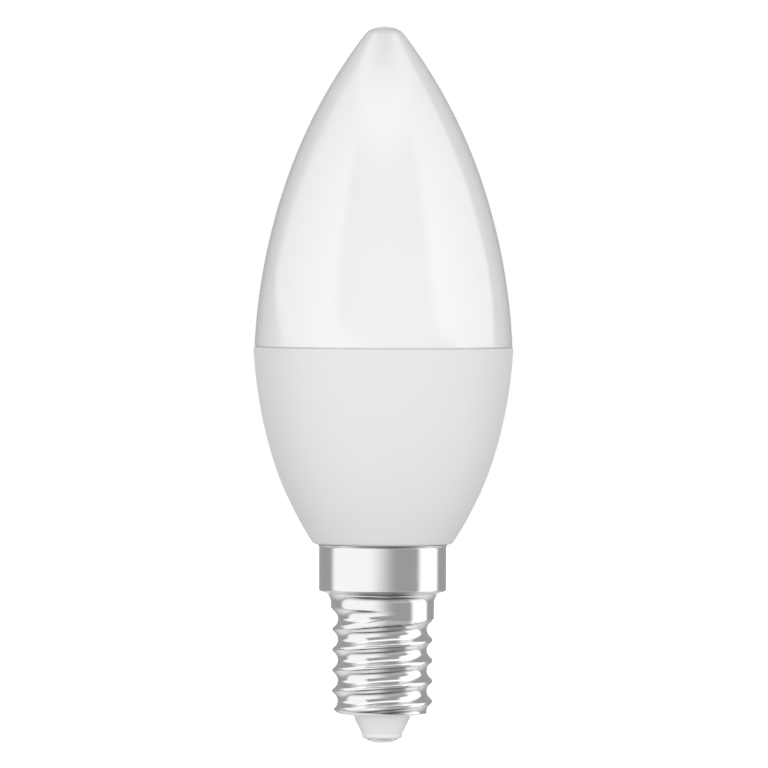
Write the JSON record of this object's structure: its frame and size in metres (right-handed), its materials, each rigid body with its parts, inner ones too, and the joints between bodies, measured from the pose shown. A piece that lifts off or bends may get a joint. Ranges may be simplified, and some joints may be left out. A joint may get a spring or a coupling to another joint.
{
  "type": "candle bulb",
  "caption": "Candle-shaped lamp bulb with a glossy opal diffuser, a tapered white housing and a small Edison screw cap.",
  "frame": {"origin": "lowest point of the centre contact, on the bulb's axis", "axes": "+Z along the bulb's axis, from the centre contact to the diffuser's tip; the bulb is round about it, apart from its thread"},
  "size_m": [0.0358, 0.0358, 0.0985],
  "materials": {
    "diffuser": "gloss",
    "housing": "matte",
    "screw_shell": "polished",
    "insulator": "satin",
    "centre_contact": "satin"
  },
  "bodies": {
    "root": {"diffuser": "diffuser", "housing": "housing", "screw_shell": "screw_shell", "insulator": "insulator", "centre_contact": "centre_contact"}
  },
  "joints": []
}
